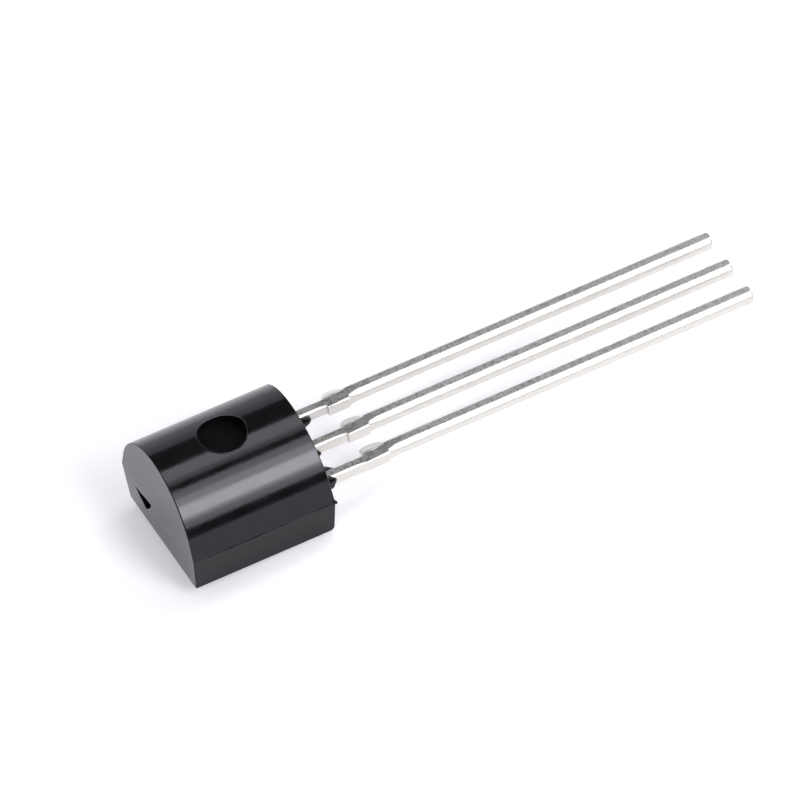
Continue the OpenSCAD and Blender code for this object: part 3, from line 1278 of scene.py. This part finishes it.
    def skins(self) -> tuple[Skin, ...]:
        """Lists the surfaces that shade by their true normals.

        Returns:
            The crown, the flat face and the four side facets.
        """
        shoulder_y = math.sqrt(self.crown_r**2 - (self.shoulder_h - self.crown_z) ** 2)
        made = [Skin(axis_z=self.crown_z, radius=self.crown_r), Skin(-Axis.Z.value)]
        for side in (-1, 1):
            lower = Vector((0, side * self.parting_h, -(self.width - self.flat_w) / 2))
            upper = Vector((0, side * (self.shoulder_h - self.parting_h), self.width / 2 - shoulder_y))
            made += [Skin(lower.normalized()), Skin(upper.normalized())]
        return tuple(made)

    def bead(self, name: str, points: list[Vector], radius: float, uneven: Span, closed: bool) -> Object:
        """Makes a thin round bead along a line of points.

        Args:
            name: the working object's name.
            points: the line, in order.
            radius: the bead's radius.
            uneven: how much the radius varies, as a share of it, and in how many cycles per millimetre.
            closed: whether the line is a loop.

        Returns:
            The bead.
        """
        curve = bpy.data.curves.new(name, "CURVE")
        curve.dimensions = "3D"
        curve.bevel_depth = radius
        curve.bevel_resolution = 2
        curve.use_fill_caps = True
        spline = curve.splines.new("POLY")
        spline.points.add(len(points) - 1)
        spline.use_cyclic_u = closed
        for target, place in zip(spline.points, points):
            target.co = (*place, 1.0)
            target.radius = max(self.bead_least, 1.0 + uneven[0] * noise.noise(place * uneven[1]))
        line = put(name, curve)
        mesh = settled(line)
        discard(line)
        bm = bmesh.new()
        bm.from_mesh(mesh)
        bpy.data.meshes.remove(mesh)
        mend(bm)
        return new_object(bm, name)

    def recess_lip(self) -> Object:
        """Makes the thin bead of resin that stands round the ejector recess.

        Returns:
            The bead.
        """
        ring = self.recess_r + self.bead_out * self.lip_r
        points = []
        for i in range(self.recess_steps):
            turn = 2 * math.pi * i / self.recess_steps
            y = ring * math.sin(turn)
            z = self.crown_z + math.sqrt(self.crown_r**2 - y**2)
            points.append(Vector((ring * math.cos(turn), y, z)))
        return self.bead("recess_lip", points, self.lip_r, self.lip_uneven, closed=True)

    def recess(self) -> Object:
        """Makes the cutter of the ejector recess, with a soft corner at its floor.

        Returns:
            The cutter.
        """
        bm = bmesh.new()
        floor_z = self.depth - self.recess_depth
        place = Matrix.Translation((0, 0, floor_z + self.recess_cut / 2))
        bmesh.ops.create_cone(bm, cap_ends=True, segments=self.recess_steps, radius1=self.recess_r,
                              radius2=self.recess_r, depth=self.recess_cut, matrix=place)
        floor_rim = [e for e in bm.edges if all(abs(v.co.z - floor_z) < ON_PLANE for v in e.verts)]
        round_edges(bm, floor_rim, self.recess_floor_r, self.recess_floor_steps)
        return new_object(bm, "recess")

    def worn_edge(self) -> Object:
        """Makes the cutter that rounds the lower edge of the end that the leads come out of.

        Returns:
            The cutter.
        """
        x = self.length / 2 - self.lean_flat
        out = x + 2 * self.cut_past
        bm = bmesh.new()
        arc = [math.radians(-90 + 90 * i / self.worn_steps) for i in range(self.worn_steps + 1)]
        profile = [(x - self.worn_r * (1 - math.cos(a)), self.worn_r * (1 + math.sin(a))) for a in arc]
        profile += [(out, self.worn_r), (out, -self.cut_past), (x - self.worn_r, -self.cut_past)]
        side = bm.faces.new([bm.verts.new((px, -self.width, pz)) for px, pz in profile])
        pull(bm, side, (0, 2 * self.width, 0))
        bmesh.ops.recalc_face_normals(bm, faces=bm.faces)
        return new_object(bm, "worn_edge")

    def parting_groove(self, side: int) -> Object:
        """Makes the cutter of the fine broken line where the mould parted, along one long side.

        Args:
            side: -1 for the near side, 1 for the far side.

        Returns:
            The cutter.
        """
        count = self.parting_steps
        half = self.length / 2 - self.parting_stop
        y = side * (self.width / 2 + self.bead_out * self.parting_r)
        points = [Vector((half * (2 * i / count - 1), y, self.parting_h)) for i in range(count + 1)]
        return self.bead("parting_groove", points, self.parting_r, self.parting_uneven, closed=False)

    def gate_chip(self) -> Object:
        """Makes the cutter of the three-cornered chip that the broken-off gate left.

        The chip is deepest at its lower side and runs out at its far corner.

        Returns:
            The cutter.
        """
        x = -self.length / 2
        outer = [Vector((x - self.cut_past, y, z)) for y, z in self.chip_corners]
        bm = bmesh.new()
        mouth = bm.faces.new([bm.verts.new(v) for v in outer])
        moved = pull(bm, mouth, (0, 0, 0))
        for v in moved:
            share = self.chip_shares[min(range(len(outer)), key=lambda i: (outer[i] - v.co).length)]
            v.co.x = x + self.chip_depth * share
        middle = Matrix.Translation(-Vector(self.chip_middle))
        bmesh.ops.scale(bm, vec=(1, self.chip_narrowing, self.chip_narrowing), space=middle, verts=moved)
        bmesh.ops.recalc_face_normals(bm, faces=bm.faces)
        bmesh.ops.subdivide_edges(bm, edges=bm.edges, cuts=self.chip_cuts, use_grid_fill=True)
        bmesh.ops.triangulate(bm, faces=bm.faces)
        self.chip_rough.apply(bm)
        return new_object(bm, "gate_chip")

    def scrap(self, form: Scrap) -> Object:
        """Makes one scrap of flash: a rough lump that thins out along the neck.

        Args:
            form: its place and shape.

        Returns:
            The scrap.
        """
        place = Vector(form.middle) + Vector((self.length / 2, 0, self.parting_h))
        turn = Matrix.Rotation(math.radians(form.turn_deg), 3, "Z")
        bm = lump(form.half, place, turn, form.thinning)
        Roughness(form.rough, self.scrap_cycles, form.middle).apply(bm)
        return new_object(bm, "scrap")

    def fin(self) -> Object:
        """Makes the small lump of flash at the end of the near parting line.

        Returns:
            The lump.
        """
        bm = bmesh.new()
        along, out, up = self.fin_offset
        place = Matrix.Translation((self.length / 2 + along, -self.width / 2 + out, self.parting_h + up))
        bmesh.ops.create_icosphere(bm, subdivisions=3, radius=self.fin_r, matrix=place)
        self.fin_rough.apply(bm)
        return new_object(bm, "fin")

    def build(self) -> Object:
        """Builds the body, in millimetres. It stays solid inside, where nothing shows.

        Returns:
            The body.
        """
        body = self.block()
        combine(body, self.worn_edge(), Join.CUT)
        for side in (-1, 1):
            combine(body, self.parting_groove(side), Join.CUT)
        for extra in [self.recess_lip(), self.fin()] + [self.scrap(form) for form in self.scraps]:
            combine(body, extra, Join.ADD)
        for cutter in (self.recess(), self.gate_chip()):
            combine(body, cutter, Join.CUT)
        body.name = "moulded_epoxy_body"
        return body


# The whole part


@dataclass
class Transistor:
    """The part: its body, its leads and the pieces sealed inside."""

    moulding: Moulding
    leadframe: Leadframe
    effects: Effects
    body_sharp_deg: float = 35
    lead_sharp_deg: float = 32

    def inner_finishes(self) -> dict[str, PlainMetalFinish]:
        """Lists the finishes of the sealed pieces.

        Returns:
            The finish of each piece, by node.
        """
        chip = PlainMetalFinish("silicon", (0.16, 0.17, 0.20, 1), (0.24, 0.25, 0.29, 1), (0.11, 0.21), 0.8)
        paste = PlainMetalFinish("silver_epoxy", (0.55, 0.55, 0.53, 1), (0.38, 0.38, 0.37, 1), (0.45, 0.55))
        gold = PlainMetalFinish("gold_wire", (0.93, 0.70, 0.29, 1), (0.80, 0.58, 0.22, 1), (0.17, 0.27))
        return {"silicon_die": chip, "die_attach": paste, "base_bond_wire": gold, "emitter_bond_wire": gold}

    def dress_inner(self) -> None:
        """Gives the sealed pieces their finishes."""
        made: dict[str, Material] = {}
        for node, finish in self.inner_finishes().items():
            if finish.name not in made:
                made[finish.name] = finish.material(self.effects)
            dress(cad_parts[node], made[finish.name])
            LOG.info("dressed %s", node)

    def place(self, piece: Object, node: str, slot: str, finish: Material) -> None:
        """Dresses a finished piece and lets it stand for its node.

        Args:
            piece: the piece, in metres.
            node: the CAD node that it replaces.
            slot: not used.
            finish: its material.
        """
        dress(piece, finish)
        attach(piece, BODY)
        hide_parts(node)
        LOG.info("built %s with %d faces for %s", piece.name, len(piece.data.polygons), node)

    def build(self) -> None:
        """Builds every piece, dresses it and puts it on the frame."""
        tin = TinFinish().material(self.effects)
        resin = EpoxyFinish(self.moulding.parting_h * MM, self.moulding.recess_r * MM)
        epoxy = resin.material(self.effects)
        leads = self.leadframe.build()
        body = self.moulding.build()
        finish_mesh(body, self.body_sharp_deg, self.moulding.skins())
        self.place(body, "package_body", "black_epoxy", epoxy)
        for node, lead in leads.items():
            finish_mesh(lead, self.lead_sharp_deg)
            self.place(lead, node, "tinned_lead", tin)
        self.dress_inner()


# Light, ground and camera


@dataclass(frozen=True)
class Softbox:
    """A soft light that faces the part. Its sizes are in metres.

    Elevation is counted from the side that the light is on, over the top: 0 is level, 90 is overhead. Turn
    is where that side is: 0 is where the camera stands, and 90 is past the tips of the leads.
    """

    name: str
    low_deg: float
    high_deg: float
    width: float
    radiance: float
    distance: float = 0.62
    sideways: float = 0.0
    turn_deg: float = 0.0

    def build(self) -> None:
        """Puts the light into the scene."""
        middle = math.radians((self.low_deg + self.high_deg) / 2)
        half = math.radians((self.high_deg - self.low_deg) / 2)
        turn = Matrix.Rotation(math.radians(self.turn_deg), 3, "Z")
        way = turn @ Vector((0, -math.cos(middle), math.sin(middle)))
        light = bpy.data.lights.new(self.name, "AREA")
        light.shape = "RECTANGLE"
        light.size = self.width
        light.size_y = 2 * self.distance * math.tan(half)
        light.energy = math.pi * light.size * light.size_y * self.radiance
        lamp = put(self.name, light)
        lamp.location = way * self.distance + turn @ Vector((self.sideways, 0, 0))
        lamp.rotation_euler = (-way).to_track_quat("-Z", "Y").to_euler()
        LOG.info("lit %s", self.name)


@dataclass(frozen=True)
class Studio:
    """White paper under and behind the part, and soft lights.

    The part's lead tips touch the paper, as the real part's do. The first three sizes are in millimetres,
    the others in metres.
    """

    heel_x: float = 2.215
    tip_x: float = 16.415
    tip_under: float = 1.11
    floor_half: float = 3.0
    wall_y: float = 0.75
    wall_h: float = 0.50
    sweep_r: float = 0.25
    sweep_steps: int = 24
    paper: Colour = (0.90, 0.90, 0.90, 1.0)
    lift: float = 0.36
    lift_colour: Colour = (1.0, 0.955, 1.08, 1.0)
    dark_room: Colour = (0.08, 0.08, 0.08, 1.0)
    softboxes: tuple[Softbox, ...] = (
        Softbox("front_softbox", 17, 73, 0.22, 2.85, sideways=0.165),
        Softbox("front_softbox_middle", 27, 62, 0.20, 2.4, sideways=0.165),
        Softbox("front_softbox_core", 32, 50, 0.18, 5.3, sideways=0.165),
        Softbox("top_softbox", 83, 110, 0.46, 1.4, sideways=0.17),
        Softbox("top_softbox_middle", 90, 109, 0.44, 1.35, sideways=0.17),
        Softbox("side_softbox", 20, 55, 0.60, 1.1, turn_deg=115),
        Softbox("fill_softbox", 15, 70, 1.00, 0.55, turn_deg=-90),
    )

    def floor(self) -> None:
        """Makes the paper, with its rise behind the part."""
        bm = bmesh.new()
        reach = self.floor_half
        front = [bm.verts.new((x, -reach, 0)) for x in (-reach, reach)]
        turn = self.wall_y - self.sweep_r
        grown = bmesh.ops.extrude_edge_only(bm, edges=[bm.edges.new(front)])
        row = new_verts(grown)
        bmesh.ops.translate(bm, vec=(0, reach + turn, 0), verts=row)
        last = [e for e in grown["geom"] if isinstance(e, BMEdge) and all(v in row for v in e.verts)]
        bmesh.ops.spin(bm, geom=row + last, cent=(0, turn, self.sweep_r), axis=(1, 0, 0), dvec=(0, 0, 0),
                       angle=math.pi / 2, steps=self.sweep_steps, use_merge=False, use_duplicate=False)
        top = max(v.co.z for v in bm.verts)
        edge = [e for e in bm.edges if all(abs(v.co.z - top) < SLIVER for v in e.verts)]
        row = new_verts(bmesh.ops.extrude_edge_only(bm, edges=edge))
        bmesh.ops.translate(bm, vec=(0, 0, self.wall_h - top), verts=row)
        bmesh.ops.recalc_face_normals(bm, faces=bm.faces)
        slope = math.atan2(self.tip_under, self.tip_x - self.heel_x)
        heel = Matrix.Translation((self.heel_x * MM, 0, 0))
        bmesh.ops.transform(bm, matrix=heel @ Matrix.Rotation(-slope, 4, "Y"), verts=bm.verts)
        floor = new_object(bm, "paper_floor")
        floor.data.shade_smooth()
        dress(floor, PaperFinish("white_paper", self.paper, self.lift, self.lift_colour).material())

    def room(self) -> None:
        """Sets the room beyond the paper."""
        world = bpy.data.worlds.new("dark_room")
        world.use_nodes = True
        ground = next(n for n in world.node_tree.nodes if n.type == "BACKGROUND")
        ground.inputs["Color"].default_value = self.dark_room
        bpy.context.scene.world = world

    def build(self) -> None:
        """Builds the floor, the lights and the room."""
        self.floor()
        for softbox in self.softboxes:
            softbox.build()
        self.room()


@dataclass(frozen=True)
class PhotoCamera:
    """The photograph's camera: far off, with a long lens. The aim is in millimetres."""

    azimuth_deg: float = 67.99
    down_deg: float = 46.26
    roll_deg: float = -6.97
    distance: float = 0.43241
    aim: Place = (5.54, -0.17, 1.835)
    lens: float = 673.4
    sensor: float = 36.0
    sees_from: float = 0.01

    def build(self) -> None:
        """Puts the camera into the scene."""
        azimuth, down, roll = (math.radians(a) for a in (self.azimuth_deg, self.down_deg, self.roll_deg))
        ahead = math.cos(down)
        forward = Vector((ahead * math.cos(azimuth), ahead * math.sin(azimuth), -math.sin(down)))
        level = forward.cross(Axis.Z.value).normalized()
        steep = level.cross(forward)
        right = math.cos(roll) * level + math.sin(roll) * steep
        up = math.cos(roll) * steep - math.sin(roll) * level
        data = bpy.data.cameras.new("photo_camera")
        data.lens = self.lens
        data.sensor_width = self.sensor
        data.clip_start = self.sees_from
        camera = put("photo_camera", data)
        turn = Matrix((right, up, -forward)).transposed().to_4x4()
        camera.matrix_world = Matrix.Translation(Vector(self.aim) * MM - forward * self.distance) @ turn
        bpy.context.scene.camera = camera


def main() -> None:
    """Builds the camera, the part and the studio."""
    logging.basicConfig(level=logging.INFO, format="%(name)s: %(message)s")
    bpy.context.scene.view_settings.view_transform = "Standard"
    PhotoCamera().build()
    Transistor(Moulding(), Leadframe(), Effects.build()).build()
    Studio().build()


if __name__ == "__main__":
    main()
